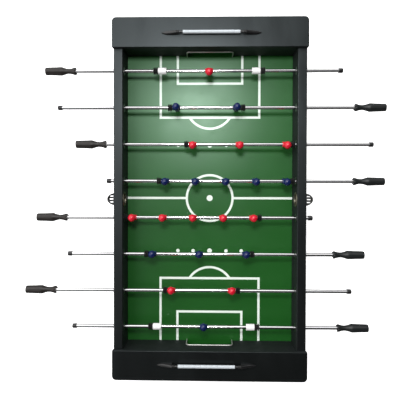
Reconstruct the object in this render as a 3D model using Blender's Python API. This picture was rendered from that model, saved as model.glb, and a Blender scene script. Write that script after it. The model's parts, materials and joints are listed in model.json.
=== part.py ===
"""A tabletop foosball table, in metres, +Z up.

The origin is the centre of the base board's underside, between the four feet. X runs across the
table, along the rods, and Y runs along it, from goal to goal. Eight rods cross the pitch, and the
two teams' rods take turns, so each row names its own team, players and place.
"""

import math

import bmesh
import bpy
from mathutils import Matrix, Vector

# Clearances
GAP = 0.0003  # between pieces that touch
RUNNING_GAP = 0.00015  # round a rod that turns in its players and grip

# Cabinet
CABINET_LENGTH = 1.016
CABINET_HEIGHT = 0.192  # from the base board's underside to the end boards' tops
END_BOARD_WIDTH = 0.5472
END_BOARD_DEPTH = 0.0835
END_BOARD_THICKNESS = 0.015
END_BOARD_CORNER_RADIUS = 0.012
END_BOARD_OVERHANG = 0.002
SIDE_THICKNESS = 0.025
END_PANEL_THICKNESS = 0.015
GOAL_WALL_THICKNESS = 0.012
BASE_THICKNESS = 0.009
EDGE_ROUND = 0.0015
FOOT_HEIGHT = 0.008
FOOT_RADIUS = 0.014
FOOT_INSET = (0.048, 0.044)
BATTEN_WIDTH = 0.022
BATTEN_END_INSET = 0.030

# Pitch
PITCH_DEPTH = 0.0975  # below the end boards' tops
PITCH_THICKNESS = 0.006
GOAL_WIDTH = 0.130
GOAL_HEIGHT = 0.045
GOAL_CORNER_RADIUS = 0.008
GOAL_FRAME_TUBE_RADIUS = 0.0018
GOAL_FRAME_STAND_OFF = 0.0022

# Ball trays behind the goals, and the windows that they empty through
TRAY_WIDTH = 0.145
TRAY_WALL = 0.0025
TRAY_FLOOR = 0.026
TRAY_TOP = 0.148
TRAY_SLOPE = 0.010
WINDOW_WIDTH = 0.120
WINDOW_BOTTOM = 0.034
WINDOW_TOP = 0.078
WINDOW_CORNER_RADIUS = 0.006

# Ball entries in the sides, half-way along
ENTRY_DROP = 0.041  # below the end boards' tops
ENTRY_HOLE_RADIUS = 0.0185
ENTRY_RING_RADIUS = 0.022
ENTRY_BORE_RADIUS = 0.0172
ENTRY_RING_THICKNESS = 0.002
ENTRY_RING_SLEEVE = 0.010
CUP_REACH = 0.024
CUP_HALF_WIDTH = 0.0175
CUP_DEPTH = 0.0165
CUP_WALL = 0.0024
CUP_FLANGE_RADIUS = 0.0215
CUP_FLANGE_THICKNESS = 0.002
CUP_SLOT_WIDTH = 0.0036
CUP_SLOT_SPACING = 0.0085
BOWL_STEPS = (10, 5)  # round the rim, and down to the lowest point

# Rods
ROD_DROP = 0.040  # the axes, below the end boards' tops
ROD_RADIUS = 0.005
ROD_SPACING = 0.105
BEARING_HOLE_RADIUS = 0.009
ROD_SIDES = 12
CAP_RADIUS = 0.0068
CAP_LENGTH = 0.013
GRIP_LENGTH = 0.089
GRIP_ROD_LENGTH = 0.068  # how much of the rod is inside its grip
GRIP_RECESS = 0.004  # the hollow cone at the grip's inner end
# How far along the grip from its outer end, as a share of its length, and the radius there
GRIP_PROFILE = (
    (0.000, 0.0085),
    (0.017, 0.0108),
    (0.340, 0.0118),
    (0.500, 0.0124),
    (0.620, 0.0094),
    (0.720, 0.0073),
    (0.860, 0.0082),
    (0.950, 0.0106),
    (1.000, 0.0106),
)
BUMPER_RADIUS = 0.0106
BUMPER_LENGTH = 0.0124
COLLAR_LENGTH = 0.0235
COLLAR_RADIUS = 0.0095
GOALIE_BUMPER_LENGTH = 0.0138
GOALIE_BUMPER_FACE = 0.1597  # from the goalie to its bumpers' outer faces
PLAYER_BUMPER_FACE = 0.0243  # from the outermost player to its bumper's outer face

# Players
PLAYER_HALF_WIDTH = 0.0115
HEAD_RADIUS = 0.0110
HEAD_CENTRE = 0.0190
HEAD_ANGLES = (-40, 0, 40, 70)  # where the head's sections are taken, in degrees from its middle
PLAYER_SIDES = 8
# A player's sections from the foot up: height over the rod's axis, half the width across the
# table, half the depth along it, and the share of each side that its cut corners take
PLAYER_SECTIONS = (
    (-0.0440, 0.0062, 0.0050, 0.25),
    (-0.0350, 0.0062, 0.0050, 0.25),
    (-0.0310, 0.0050, 0.0040, 0.40),
    (-0.0200, 0.0076, 0.0056, 0.40),
    (-0.0120, 0.0084, 0.0062, 0.40),
    (-0.0060, PLAYER_HALF_WIDTH, 0.0088, 0.35),
    (0.0055, PLAYER_HALF_WIDTH, 0.0088, 0.35),
    (0.0092, 0.0090, 0.0060, 0.45),
)

# Each rod type: the players' places along it, and how far its grip's and its cap's outer ends lie
# from the middle of its players.
ROD_TYPES = {
    "goalie": {"players": (0.0,), "grip_end": 0.4706, "cap_end": 0.3800},
    "defence": {"players": (-0.0865, 0.0865), "grip_end": 0.5092, "cap_end": 0.4280},
    "attack": {"players": (-0.134, 0.0, 0.134), "grip_end": 0.4706, "cap_end": 0.3800},
    "midfield": {
        "players": (-0.173, -0.0865, 0.0, 0.0865, 0.173),
        "grip_end": 0.4510,
        "cap_end": 0.3420,
    },
}

# The rows from the far end (+Y) to the near end: team, rod type, where its players' middle rests
# across the table, and how far their heads lean towards the near end, in degrees. Red's grips are on
# the left (-X) and blue's on the right.
ROWS = (
    ("red", "goalie", -0.0023, 20),
    ("blue", "defence", -0.0095, 0),
    ("red", "attack", 0.0850, 10),
    ("blue", "midfield", 0.0455, 6),
    ("red", "midfield", -0.0480, 0),
    ("blue", "attack", -0.0296, -5),
    ("red", "defence", -0.0226, -10),
    ("blue", "goalie", -0.0165, -14),
)

# Scorers on the end boards
SCORER_CENTRES = {"far": 0.004, "near": -0.008}
SCORER_HEIGHT = 0.0115
SCORER_WIRE_RADIUS = 0.0015
SCORER_HALF_SPAN = 0.0965
SCORER_HALF_LENGTH = 0.1385
SCORER_ARM_HALF_WIDTH = 0.0050
SCORER_SHOULDER = 0.6  # the share of the arm's length that keeps its full width
SCORER_POINT_WIDTH = 0.75  # the share of its width half-way along its point
SCORER_SLOPE = 0.8  # the power of the curve that its top falls along
SCORER_POST_HEIGHT = 0.0165
SCORER_FOOT_HEIGHT = 0.0035
SCORER_COLLAR_LENGTH = 0.008
SCORER_COLLAR_RADIUS = 0.0046
SCORER_GROOVE = 0.0008
SCORER_RIBS = 3
BEAD_COUNT = 10
BEAD_LENGTH = 0.0158
BEAD_RADIUS = 0.0056
BEAD_BORE_RADIUS = 0.0021
BEAD_SIDES = 8

# Worked out from the above
HALF_LENGTH = CABINET_LENGTH / 2
HALF_WIDTH = END_BOARD_WIDTH / 2
TOP_Z = CABINET_HEIGHT
SIDE_TOP_Z = TOP_Z - END_BOARD_THICKNESS
SIDE_OUTER_X = HALF_WIDTH - END_BOARD_OVERHANG
SIDE_INNER_X = SIDE_OUTER_X - SIDE_THICKNESS
WELL_X = SIDE_INNER_X - GAP  # half-width of every piece that fits between the side panels
CARCASS_Y = HALF_LENGTH - END_BOARD_OVERHANG
END_BOARD_INNER_Y = HALF_LENGTH - END_BOARD_DEPTH
GOAL_WALL_Y = END_BOARD_INNER_Y + END_BOARD_OVERHANG
GOAL_WALL_BACK_Y = GOAL_WALL_Y + GOAL_WALL_THICKNESS
END_PANEL_Y = CARCASS_Y - END_PANEL_THICKNESS
PITCH_Z = TOP_Z - PITCH_DEPTH
ROD_Z = TOP_Z - ROD_DROP
ENTRY_Z = TOP_Z - ENTRY_DROP
SCORER_Y = HALF_LENGTH - END_BOARD_DEPTH / 2 - 0.0043

ENDS = {"far": 1, "near": -1}
SIDES = {"left": -1, "right": 1}
COLOURS = {
    "black_laminate": ((0.030, 0.032, 0.034), 0.45, 0.0),
    "pitch_green": ((0.030, 0.150, 0.050), 0.30, 0.0),
    "board": ((0.130, 0.090, 0.055), 0.80, 0.0),
    "chrome": ((0.80, 0.80, 0.80), 0.12, 1.0),
    "black_plastic": ((0.015, 0.015, 0.016), 0.50, 0.0),
    "grey_plastic": ((0.200, 0.205, 0.200), 0.45, 0.0),
    "brass_ring": ((0.160, 0.140, 0.110), 0.40, 0.6),
    "white_plastic": ((0.850, 0.850, 0.850), 0.40, 0.0),
    "team_red": ((0.550, 0.010, 0.030), 0.30, 0.0),
    "team_blue": ((0.010, 0.012, 0.110), 0.30, 0.0),
}


def clear_scene():
    for obj in list(bpy.data.objects):
        bpy.data.objects.remove(obj, do_unlink=True)


def make_materials():
    made = {}
    for name, (colour, roughness, metallic) in COLOURS.items():
        material = bpy.data.materials.new(name)
        material.use_nodes = True
        shader = material.node_tree.nodes["Principled BSDF"]
        shader.inputs["Base Color"].default_value = (*colour, 1.0)
        shader.inputs["Roughness"].default_value = roughness
        shader.inputs["Metallic"].default_value = metallic
        made[name] = material
    return made


def mesh_from(bm, name):
    bmesh.ops.recalc_face_normals(bm, faces=bm.faces)
    mesh = bpy.data.meshes.new(name)
    bm.to_mesh(mesh)
    bm.free()
    return mesh


def add_object(name, mesh, material=None, location=(0.0, 0.0, 0.0), parent=None, smooth=False):
    obj = bpy.data.objects.new(name, mesh)
    bpy.context.scene.collection.objects.link(obj)
    obj.location = location
    obj.parent = parent
    if material is not None and not mesh.materials:
        mesh.materials.append(material)
    if smooth:
        mesh.shade_smooth()
        mesh.set_sharp_from_angle(angle=math.radians(35))
    return obj


def add_helper(name, mesh, location=(0.0, 0.0, 0.0), parent=None):
    """A Boolean's second shape, which isn't a piece of the table."""
    helper = add_object(name, mesh, location=location, parent=parent)
    helper.hide_render = True
    helper.display_type = "WIRE"
    return helper


def boolean(obj, helper, operation):
    modifier = obj.modifiers.new(helper.name, "BOOLEAN")
    modifier.operation = operation
    modifier.solver = "EXACT"
    modifier.object = helper


def box(bm, low, high):
    """Adds a box between two corners to the mesh, and returns its points."""
    low, high = Vector(low), Vector(high)
    made = bmesh.ops.create_cube(bm, size=1.0)["verts"]
    for vert in made:
        vert.co = (low + high) / 2 + vert.co * (high - low)
    return made


def box_mesh(name, low, high):
    bm = bmesh.new()
    box(bm, low, high)
    return mesh_from(bm, name)


def extruded(name, outline, low, high, axis):
    """A mesh of a flat outline pulled from low to high along an axis.

    The outline's points are (x, y) for axis Z, (x, z) for axis Y and (y, z) for axis X.
    """

    def place(point, level):
        coordinates = list(point)
        coordinates.insert("XYZ".index(axis), level)
        return coordinates

    bm = bmesh.new()
    near = [bm.verts.new(place(point, low)) for point in outline]
    far = [bm.verts.new(place(point, high)) for point in outline]
    bm.faces.new(near)
    bm.faces.new(far)
    for i in range(len(outline)):
        j = (i + 1) % len(outline)
        bm.faces.new((near[i], near[j], far[j], far[i]))
    return mesh_from(bm, name)


def arc(centre, radius, start, end, steps):
    """Points on an arc, with its angles in degrees."""
    points = []
    for step in range(steps + 1):
        angle = math.radians(start + (end - start) * step / steps)
        points.append((centre[0] + radius * math.cos(angle), centre[1] + radius * math.sin(angle)))
    return points


def rounded_rectangle(low, high, radii, steps=4):
    """An outline with a radius for each corner: low-left, low-right, high-right, high-left."""
    corners = ((low[0], low[1]), (high[0], low[1]), (high[0], high[1]), (low[0], high[1]))
    inward = ((1, 1), (-1, 1), (-1, -1), (1, -1))
    outline = []
    for i in range(4):
        radius = radii[i]
        if radius == 0:
            outline.append(corners[i])
            continue
        centre = (corners[i][0] + inward[i][0] * radius, corners[i][1] + inward[i][1] * radius)
        outline += arc(centre, radius, 180 + 90 * i, 270 + 90 * i, steps)
    return outline


def turned(bm, profile, sides):
    """Adds a solid turned about X. The profile's points are (x, radius), and it may double back."""
    rings = []
    for x, radius in profile:
        ring = []
        for side in range(sides):
            angle = math.tau * side / sides
            ring.append(bm.verts.new((x, radius * math.cos(angle), radius * math.sin(angle))))
        rings.append(ring)
    for first, second in zip(rings, rings[1:]):
        for side in range(sides):
            after = (side + 1) % sides
            bm.faces.new((first[side], first[after], second[after], second[side]))
    return rings


def turned_mesh(name, profile, sides, ring_shaped=False):
    """A turned solid: closed by flat ends, or, ring_shaped, by joining its last ring to its first."""
    bm = bmesh.new()
    rings = turned(bm, profile, sides)
    if ring_shaped:
        for side in range(sides):
            after = (side + 1) % sides
            bm.faces.new((rings[-1][side], rings[-1][after], rings[0][after], rings[0][side]))
    else:
        bm.faces.new(rings[0])
        bm.faces.new(rings[-1])
    return mesh_from(bm, name)


def around(radius, sides):
    """The corner radius of a polygon whose flats clear a round of this radius."""
    return radius / math.cos(math.pi / sides)


def add_bevel(obj, width, segments=2, angle=40):
    bevel = obj.modifiers.new("edges", "BEVEL")
    bevel.width = width
    bevel.segments = segments
    bevel.limit_method = "ANGLE"
    bevel.angle_limit = math.radians(angle)


def settled(obj, helpers, name):
    """The object's evaluated mesh as one that copies can share, with the object itself removed."""
    graph = bpy.context.evaluated_depsgraph_get()
    mesh = bpy.data.meshes.new_from_object(obj.evaluated_get(graph))
    mesh.name = name
    for used in [obj, *helpers]:
        bpy.data.objects.remove(used, do_unlink=True)
    return mesh


def side_panel(side, material):
    """A side board, bored for eight rod bearings and for the ball entry."""
    sign = SIDES[side]
    outer, inner = sign * SIDE_OUTER_X, sign * SIDE_INNER_X
    low_x, high_x = min(outer, inner), max(outer, inner)
    mesh = box_mesh(f"side_panel_{side}", (low_x, -CARCASS_Y, 0), (high_x, CARCASS_Y, SIDE_TOP_Z - GAP))
    panel = add_object(f"side_panel_{side}", mesh, material)
    add_bevel(panel, EDGE_ROUND, segments=1)
    bm = bmesh.new()
    reach = SIDE_THICKNESS
    bores = [(row_y(row), ROD_Z, BEARING_HOLE_RADIUS) for row in range(1, len(ROWS) + 1)]
    bores.append((0.0, ENTRY_Z, ENTRY_HOLE_RADIUS))
    for y, z, radius in bores:
        rings = turned(bm, ((low_x - reach, radius), (high_x + reach, radius)), 2 * PLAYER_SIDES)
        bm.faces.new(rings[0])
        bm.faces.new(rings[1])
        for vert in rings[0] + rings[1]:
            vert.co += Vector((0, y, z))
    cutter = add_helper(f"side_panel_{side}_bores", mesh_from(bm, "side_panel_bores"))
    boolean(panel, cutter, "DIFFERENCE")


def goal_wall(end, material):
    """The inner end wall, which stands on the pitch, with the goal mouth cut up from its foot."""
    sign = ENDS[end]
    half = GOAL_WIDTH / 2
    mouth_top = PITCH_Z + GOAL_HEIGHT
    centre_z = mouth_top - GOAL_CORNER_RADIUS
    low, high = PITCH_Z + GAP, SIDE_TOP_Z - GAP
    outline = [(-WELL_X, low), (-half, low)]
    outline += arc((-half + GOAL_CORNER_RADIUS, centre_z), GOAL_CORNER_RADIUS, 180, 90, 4)
    outline += arc((half - GOAL_CORNER_RADIUS, centre_z), GOAL_CORNER_RADIUS, 90, 0, 4)
    outline += [(half, low), (WELL_X, low), (WELL_X, high), (-WELL_X, high)]
    faces = sorted((sign * GOAL_WALL_Y, sign * GOAL_WALL_BACK_Y))
    mesh = extruded(f"goal_wall_{end}", outline, faces[0], faces[1], "Y")
    add_object(f"goal_wall_{end}", mesh, material)


def end_panel(end, material):
    """The outer end board, with the window that the ball is taken out through."""
    sign = ENDS[end]
    faces = sorted((sign * END_PANEL_Y, sign * CARCASS_Y))
    mesh = box_mesh(
        f"end_panel_{end}", (-WELL_X, faces[0], 0), (WELL_X, faces[1], SIDE_TOP_Z - GAP)
    )
    panel = add_object(f"end_panel_{end}", mesh, material)
    half = WINDOW_WIDTH / 2
    outline = rounded_rectangle(
        (-half, WINDOW_BOTTOM), (half, WINDOW_TOP), [WINDOW_CORNER_RADIUS] * 4
    )
    reach = END_PANEL_THICKNESS
    window = extruded("window", outline, faces[0] - reach, faces[1] + reach, "Y")
    boolean(panel, add_helper(f"end_panel_{end}_window", window), "DIFFERENCE")


def end_board(end, material):
    """The flat board over one end of the cabinet, rounded at its outer corners."""
    sign = ENDS[end]
    large, small = END_BOARD_CORNER_RADIUS, END_BOARD_OVERHANG
    outline = rounded_rectangle(
        (-HALF_WIDTH, END_BOARD_INNER_Y), (HALF_WIDTH, HALF_LENGTH), (small, small, large, large)
    )
    outline = [(x, sign * y) for x, y in outline]
    mesh = extruded(f"end_board_{end}", outline, SIDE_TOP_Z, TOP_Z, "Z")
    board = add_object(f"end_board_{end}", mesh, material)
    add_bevel(board, EDGE_ROUND, segments=1, angle=60)


def base_frame(material):
    """The base board with the two battens that carry the pitch, and its four feet."""
    back = END_PANEL_Y - GAP
    mesh = box_mesh("base_frame", (-WELL_X, -back, 0), (WELL_X, back, BASE_THICKNESS))
    base = add_object("base_frame", mesh, material)
    bm = bmesh.new()
    batten_top = PITCH_Z - PITCH_THICKNESS - GAP
    batten_y = GOAL_WALL_Y - BATTEN_END_INSET
    overlap = BASE_THICKNESS / 2
    for sign in SIDES.values():
        across = sorted((sign * WELL_X, sign * (WELL_X - BATTEN_WIDTH)))
        box(bm, (across[0], -batten_y, overlap), (across[1], batten_y, batten_top))
    for sign_x in SIDES.values():
        for sign_y in ENDS.values():
            centre = Vector((sign_x * (WELL_X - FOOT_INSET[0]), sign_y * (back - FOOT_INSET[1]), 0))
            height = FOOT_HEIGHT + overlap
            bmesh.ops.create_cone(
                bm,
                cap_ends=True,
                segments=ROD_SIDES,
                radius1=FOOT_RADIUS - EDGE_ROUND,
                radius2=FOOT_RADIUS,
                depth=height,
                matrix=Matrix.Translation(centre + Vector((0, 0, height / 2 - FOOT_HEIGHT))),
            )
    helper = add_helper("base_frame_battens_and_feet", mesh_from(bm, "battens_and_feet"))
    boolean(base, helper, "UNION")


def pitch(material):
    back = GOAL_WALL_BACK_Y
    low = (-WELL_X, -back, PITCH_Z - PITCH_THICKNESS)
    add_object("pitch", box_mesh("pitch", low, (WELL_X, back, PITCH_Z)), material)


def goal_frame(end, material):
    """The bent tube round the goal mouth, on the pitch side of the wall."""
    sign = ENDS[end]
    radius = GOAL_FRAME_TUBE_RADIUS
    half = GOAL_WIDTH / 2 + radius + GAP
    bar_z = PITCH_Z + GOAL_HEIGHT + radius + GAP
    bend = GOAL_CORNER_RADIUS + radius + GAP
    route = [(-half, PITCH_Z + GAP)]
    route += arc((-half + bend, bar_z - bend), bend, 180, 90, 5)
    route += arc((half - bend, bar_z - bend), bend, 90, 0, 5)
    route.append((half, PITCH_Z + GAP))
    curve = bpy.data.curves.new(f"goal_frame_{end}", "CURVE")
    curve.dimensions = "3D"
    curve.bevel_depth = radius
    curve.bevel_resolution = 1
    curve.use_fill_caps = True
    spline = curve.splines.new("POLY")
    spline.points.add(len(route) - 1)
    y = sign * (GOAL_WALL_Y - GOAL_FRAME_STAND_OFF)
    for point, (x, z) in zip(spline.points, route):
        point.co = (x, y, z, 1)
    frame = bpy.data.objects.new(f"goal_frame_{end}", curve)
    bpy.context.scene.collection.objects.link(frame)
    curve.materials.append(material)


def ball_tray(end, material):
    """The open box that catches the ball behind a goal, with a floor that slopes to the window."""
    sign = ENDS[end]
    inner, outer = GOAL_WALL_BACK_Y + GAP, END_PANEL_Y - GAP
    half = TRAY_WIDTH / 2
    faces = sorted((sign * inner, sign * outer))
    mesh = box_mesh(f"ball_tray_{end}", (-half, faces[0], TRAY_FLOOR), (half, faces[1], TRAY_TOP))
    tray = add_object(f"ball_tray_{end}", mesh, material)

    hollow_inner, hollow_outer = inner + TRAY_WALL, outer - TRAY_WALL
    low, high = TRAY_FLOOR + TRAY_WALL, TRAY_TOP + TRAY_WALL
    section = (
        (sign * hollow_inner, low + TRAY_SLOPE),
        (sign * hollow_outer, low),
        (sign * hollow_outer, high),
        (sign * hollow_inner, high),
    )
    across = half - TRAY_WALL
    hollow = extruded("tray_hollow", section, -across, across, "X")
    boolean(tray, add_helper(f"ball_tray_{end}_hollow", hollow), "DIFFERENCE")

    bm = bmesh.new()
    mouth = sorted((sign * (inner - TRAY_WALL), sign * (inner + 2 * TRAY_WALL)))
    mouth_half = GOAL_WIDTH / 2 + TRAY_WALL / 2
    mouth_low = PITCH_Z - PITCH_THICKNESS
    box(bm, (-mouth_half, mouth[0], mouth_low), (mouth_half, mouth[1], high + TRAY_WALL))
    window = sorted((sign * (outer - 2 * TRAY_WALL), sign * (outer + TRAY_WALL)))
    window_half = WINDOW_WIDTH / 2
    box(bm, (-window_half, window[0], WINDOW_BOTTOM), (window_half, window[1], WINDOW_TOP))
    boolean(tray, add_helper(f"ball_tray_{end}_mouths", mesh_from(bm, "tray_mouths")), "DIFFERENCE")


def entry_ring(side, material):
    """The bezel on the inner end of a ball entry, with a sleeve in the panel."""
    inner_face = SIDE_INNER_X - GAP
    sleeve = ENTRY_HOLE_RADIUS - GAP
    profile = [
        (inner_face, ENTRY_RING_RADIUS),
        (inner_face, sleeve),
        (inner_face + ENTRY_RING_SLEEVE, sleeve),
        (inner_face + ENTRY_RING_SLEEVE, ENTRY_BORE_RADIUS),
        (inner_face - ENTRY_RING_THICKNESS, ENTRY_BORE_RADIUS),
        (inner_face - ENTRY_RING_THICKNESS, ENTRY_RING_RADIUS - EDGE_ROUND),
    ]
    profile = [(SIDES[side] * x, radius) for x, radius in profile]
    mesh = turned_mesh(f"entry_ring_{side}", profile, 2 * PLAYER_SIDES, ring_shaped=True)
    add_object(f"entry_ring_{side}", mesh, material, (0, 0, ENTRY_Z), smooth=True)


def half_bowl(name, back, reach, half_width, depth, sign):
    """The lower, outer quarter of an ellipsoid as a closed solid, from x = back out to reach."""
    bm = bmesh.new()
    around_steps, down_steps = BOWL_STEPS
    rings = []
    for level in range(down_steps):
        down = math.radians(90 * level / down_steps)
        ring = []
        for step in range(around_steps + 1):
            angle = math.radians(-90 + 180 * step / around_steps)
            x = back + (reach - back) * math.cos(down) * math.cos(angle)
            y = half_width * math.cos(down) * math.sin(angle)
            ring.append(bm.verts.new((sign * x, y, -depth * math.sin(down))))
        rings.append(ring)
    lowest = bm.verts.new((sign * back, 0, -depth))
    bm.faces.new(rings[0])
    for upper, lower in zip(rings, rings[1:]):
        for step in range(around_steps):
            bm.faces.new((upper[step], upper[step + 1], lower[step + 1], lower[step]))
    for step in range(around_steps):
        bm.faces.new((rings[-1][step], rings[-1][step + 1], lowest))
    bm.faces.new([ring[0] for ring in rings] + [lowest] + [ring[-1] for ring in reversed(rings)])
    return mesh_from(bm, name)


def entry_cup(side, material):
    """The slotted half bowl on the outside that a ball is dropped into, on its round flange."""
    sign = SIDES[side]
    name = f"entry_cup_{side}"
    place = (sign * (SIDE_OUTER_X + GAP), 0, ENTRY_Z)
    back = CUP_FLANGE_THICKNESS / 2
    bowl = half_bowl(name, back, CUP_REACH, CUP_HALF_WIDTH, CUP_DEPTH, sign)
    cup = add_object(name, bowl, material, place, smooth=True)
    flange_profile = ((0, CUP_FLANGE_RADIUS), (sign * CUP_FLANGE_THICKNESS, CUP_FLANGE_RADIUS))
    flange = turned_mesh("cup_flange", flange_profile, 2 * PLAYER_SIDES)
    boolean(cup, add_helper(f"{name}_flange", flange, place), "UNION")
    inside = (CUP_REACH - CUP_WALL, CUP_HALF_WIDTH - CUP_WALL, CUP_DEPTH - CUP_WALL)
    hollow = half_bowl("cup_hollow", back / 2, *inside, sign)
    hollow.transform(Matrix.Translation((0, 0, CUP_WALL / 8)))
    boolean(cup, add_helper(f"{name}_hollow", hollow, place), "DIFFERENCE")
    bm = bmesh.new()
    bore = CUP_HALF_WIDTH - CUP_WALL
    ends = (-sign * SIDE_THICKNESS, sign * SIDE_THICKNESS / 5)
    rings = turned(bm, [(x, bore) for x in ends], 2 * PLAYER_SIDES)
    bm.faces.new(rings[0])
    bm.faces.new(rings[1])
    boolean(cup, add_helper(f"{name}_bore", mesh_from(bm, "cup_bore"), place), "DIFFERENCE")
    bm = bmesh.new()
    inner_x, outer_x = CUP_FLANGE_THICKNESS + 2 * CUP_WALL, CUP_REACH - 2 * CUP_WALL
    slot = CUP_SLOT_WIDTH / 2
    for step in (-1, 0, 1):
        y = step * CUP_SLOT_SPACING
        across = sorted((sign * inner_x, sign * outer_x))
        box(bm, (across[0], y - slot, -2 * CUP_DEPTH), (across[1], y + slot, -CUP_DEPTH / 3))
    boolean(cup, add_helper(f"{name}_slots", mesh_from(bm, "cup_slots"), place), "DIFFERENCE")


def row_y(row):
    """Where a row lies along the table, counted from 1 at the far end."""
    return ROD_SPACING * ((len(ROWS) + 1) / 2 - row)


def grip_side(team):
    return -1 if team == "red" else 1


def bumpers(kind):
    """(start, end, radius) of each bumper and collar on a rod's +X half, outwards from its players."""
    if kind == "goalie":
        start = GOALIE_BUMPER_FACE - GOALIE_BUMPER_LENGTH
        collar = (start - COLLAR_LENGTH, start, COLLAR_RADIUS)
        return [collar, (start, GOALIE_BUMPER_FACE, BUMPER_RADIUS)]
    face = max(ROD_TYPES[kind]["players"]) + PLAYER_BUMPER_FACE
    return [(face - BUMPER_LENGTH, face, BUMPER_RADIUS)]


def rod(row, team, kind, parent, material):
    """A rod with its cap, bumpers and stop collars, its grip end towards the team's side."""
    layout = ROD_TYPES[kind]
    grip_end = layout["grip_end"] - GRIP_LENGTH + GRIP_ROD_LENGTH
    cap_end = layout["cap_end"]
    profile = [
        (-cap_end, CAP_RADIUS - EDGE_ROUND),
        (-cap_end + EDGE_ROUND, CAP_RADIUS),
        (-cap_end + CAP_LENGTH, CAP_RADIUS),
        (-cap_end + CAP_LENGTH, ROD_RADIUS),
    ]
    outward = bumpers(kind)
    inward = [(-end, -start, radius) for start, end, radius in reversed(outward)]
    for group in (inward, outward):
        profile.append((group[0][0], ROD_RADIUS))
        for start, end, radius in group:
            profile += [(start, radius), (end, radius)]
        profile.append((group[-1][1], ROD_RADIUS))
    profile.append((grip_end, ROD_RADIUS))
    sign = grip_side(team)
    profile = [(sign * x, radius) for x, radius in profile]
    mesh = turned_mesh(f"rod_{row}", profile, ROD_SIDES)
    add_object(f"rod_{row}", mesh, material, parent=parent, smooth=True)


def grip_mesh(sign):
    """A grip with its outer end at x = 0 and its bored inner end towards the table."""
    bore = around(ROD_RADIUS + RUNNING_GAP, ROD_SIDES)
    profile = [(share * GRIP_LENGTH, radius) for share, radius in GRIP_PROFILE]
    profile.append((GRIP_LENGTH - GRIP_RECESS, bore))
    profile.append((GRIP_LENGTH - GRIP_ROD_LENGTH - GAP, bore))
    profile = [(-sign * x, radius) for x, radius in profile]
    return turned_mesh("grip", profile, ROD_SIDES)


def section(z, half_x, half_y, round_share):
    """Eight points round a body section: a rectangle whose corners are cut by round_share."""
    cut_x, cut_y = half_x * (1 - round_share), half_y * (1 - round_share)
    quarter = ((half_x, cut_y), (cut_x, half_y))
    points = [(x, y, z) for x, y in quarter]
    points += [(-x, y, z) for x, y in reversed(quarter)]
    points += [(-x, -y, z) for x, y in quarter]
    points += [(x, -y, z) for x, y in reversed(quarter)]
    return points


def player_mesh(name, material):
    """A player hanging from the rod's axis, which is the origin, bored through the chest."""
    octagon = 1 - math.tan(math.pi / PLAYER_SIDES)
    sections = [section(*sizes) for sizes in PLAYER_SECTIONS]
    for angle in HEAD_ANGLES:
        radius = HEAD_RADIUS * math.cos(math.radians(angle))
        z = HEAD_CENTRE + HEAD_RADIUS * math.sin(math.radians(angle))
        sections.append(section(z, radius, radius, octagon))
    bm = bmesh.new()
    rings = [[bm.verts.new(point) for point in points] for points in sections]
    for first, second in zip(rings, rings[1:]):
        for side in range(PLAYER_SIDES):
            after = (side + 1) % PLAYER_SIDES
            bm.faces.new((first[side], first[after], second[after], second[side]))
    bm.faces.new(rings[0])
    bm.faces.new(rings[-1])
    body = add_object("player_body", mesh_from(bm, "player_body"), material)
    bore = around(ROD_RADIUS + RUNNING_GAP, ROD_SIDES)
    reach = 2 * PLAYER_HALF_WIDTH
    cutter = turned_mesh("player_bore", ((-reach, bore), (reach, bore)), ROD_SIDES)
    helper = add_helper("player_bore", cutter)
    boolean(body, helper, "DIFFERENCE")
    return settled(body, [helper], name)


def rod_row(row, team, kind, rest_x, lean, shared, materials):
    """One row: a rod, the players that its turning swings, and its grip, all on the rod's axis."""
    axis = bpy.data.objects.new(f"axis_{row}", None)
    bpy.context.scene.collection.objects.link(axis)
    axis.location = (rest_x, row_y(row), ROD_Z)
    rod(row, team, kind, axis, materials["chrome"])
    players = ROD_TYPES[kind]["players"]
    for number, x in enumerate(players, start=1):
        name = f"player_{row}_{number}"
        player = add_object(name, shared[team], location=(x, 0, 0), parent=axis)
        player.rotation_euler.x = math.radians(lean)
    sign = grip_side(team)
    grip_x = sign * ROD_TYPES[kind]["grip_end"]
    add_object(f"grip_{row}", shared[f"{team}_grip"], location=(grip_x, 0, 0), parent=axis)


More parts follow.
